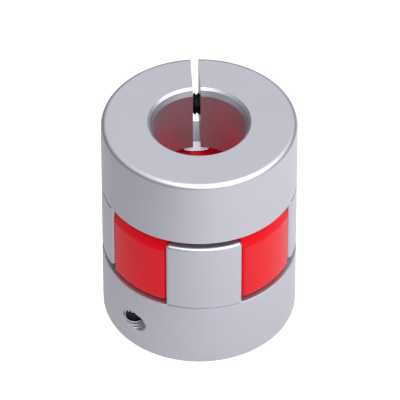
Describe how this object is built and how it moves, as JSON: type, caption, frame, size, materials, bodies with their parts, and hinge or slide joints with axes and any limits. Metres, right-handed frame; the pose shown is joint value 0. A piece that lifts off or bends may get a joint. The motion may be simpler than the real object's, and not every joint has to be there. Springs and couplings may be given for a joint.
{
  "type": "jaw coupling",
  "caption": "Jaw coupling for two shafts: slit clamp hubs with interlocking jaws, an elastomer spider between them and a clamp screw across each slit.",
  "frame": {"origin": "centre of the lower hub's end face, on the shaft axis", "axes": "+Z along the shaft axis towards the upper hub; the lower hub's jaws at -Y and +Y, the upper hub's at -X and +X"},
  "size_m": [0.025, 0.025, 0.0306],
  "materials": {
    "hub_metal": "satin, fine blasted and clear anodised",
    "spider_elastomer": "semi-gloss moulded polyurethane",
    "screw_steel": "black oxide, oiled"
  },
  "bodies": {
    "lower_hub": {"lower_hub": "hub_metal"},
    "spider": {"spider": "spider_elastomer"},
    "upper_hub": {"upper_hub": "hub_metal"},
    "lower_clamp_screw": {"lower_clamp_screw": "screw_steel"},
    "upper_clamp_screw": {"upper_clamp_screw": "screw_steel"}
  },
  "joints": [
    {"name": "spider_lift", "type": "slide", "parent": "lower_hub", "child": "spider", "axis": [0, 0, 1], "range_m": [-0.0002, 0.013]},
    {"name": "upper_hub_lift", "type": "slide", "parent": "spider", "child": "upper_hub", "axis": [0, 0, 1], "range_m": [-0.0002, 0.013]},
    {"name": "lower_screw_turn", "type": "hinge", "parent": "lower_hub", "child": "lower_clamp_screw", "pos_m": [-0.00865, 0, 0.0046], "axis": [0, 1, 0], "range_deg": [-90, 630]},
    {"name": "upper_screw_turn", "type": "hinge", "parent": "upper_hub", "child": "upper_clamp_screw", "pos_m": [0, 0.00865, 0.026], "axis": [-1, 0, 0], "range_deg": [-90, 630]}
  ]
}
